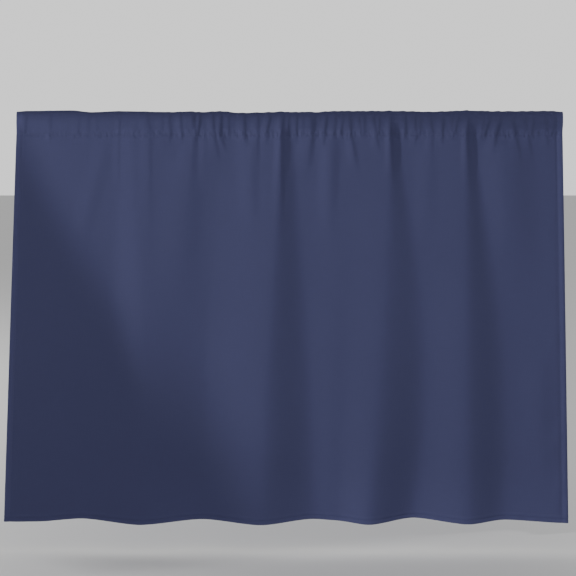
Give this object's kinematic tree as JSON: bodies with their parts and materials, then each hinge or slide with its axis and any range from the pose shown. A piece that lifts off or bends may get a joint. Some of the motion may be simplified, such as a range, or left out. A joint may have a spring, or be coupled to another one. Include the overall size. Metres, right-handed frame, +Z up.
{
  "type": "sink skirt",
  "caption": "Short plain curtain that hides the space under a sink or worktop: one hemmed cloth gathered on a sewn rod pocket, hanging in soft uneven folds.",
  "frame": {"origin": "middle of the skirt's top edge, in the upright plane through the middle of the rod pocket; the skirt hangs below it", "axes": "+X along the rod to the viewer's right, +Z up, and the face side looks along -Y"},
  "size_m": [1.1141, 0.0273, 0.8133],
  "materials": {
    "navy_cloth": "smooth plain-woven polyester, dyed navy, soft matt with a faint sheen",
    "navy_thread": "fine spun sewing thread in the cloth's colour"
  },
  "bodies": {
    "root": {"skirt_panel": "navy_cloth", "rod_pocket": "navy_cloth"}
  },
  "joints": []
}
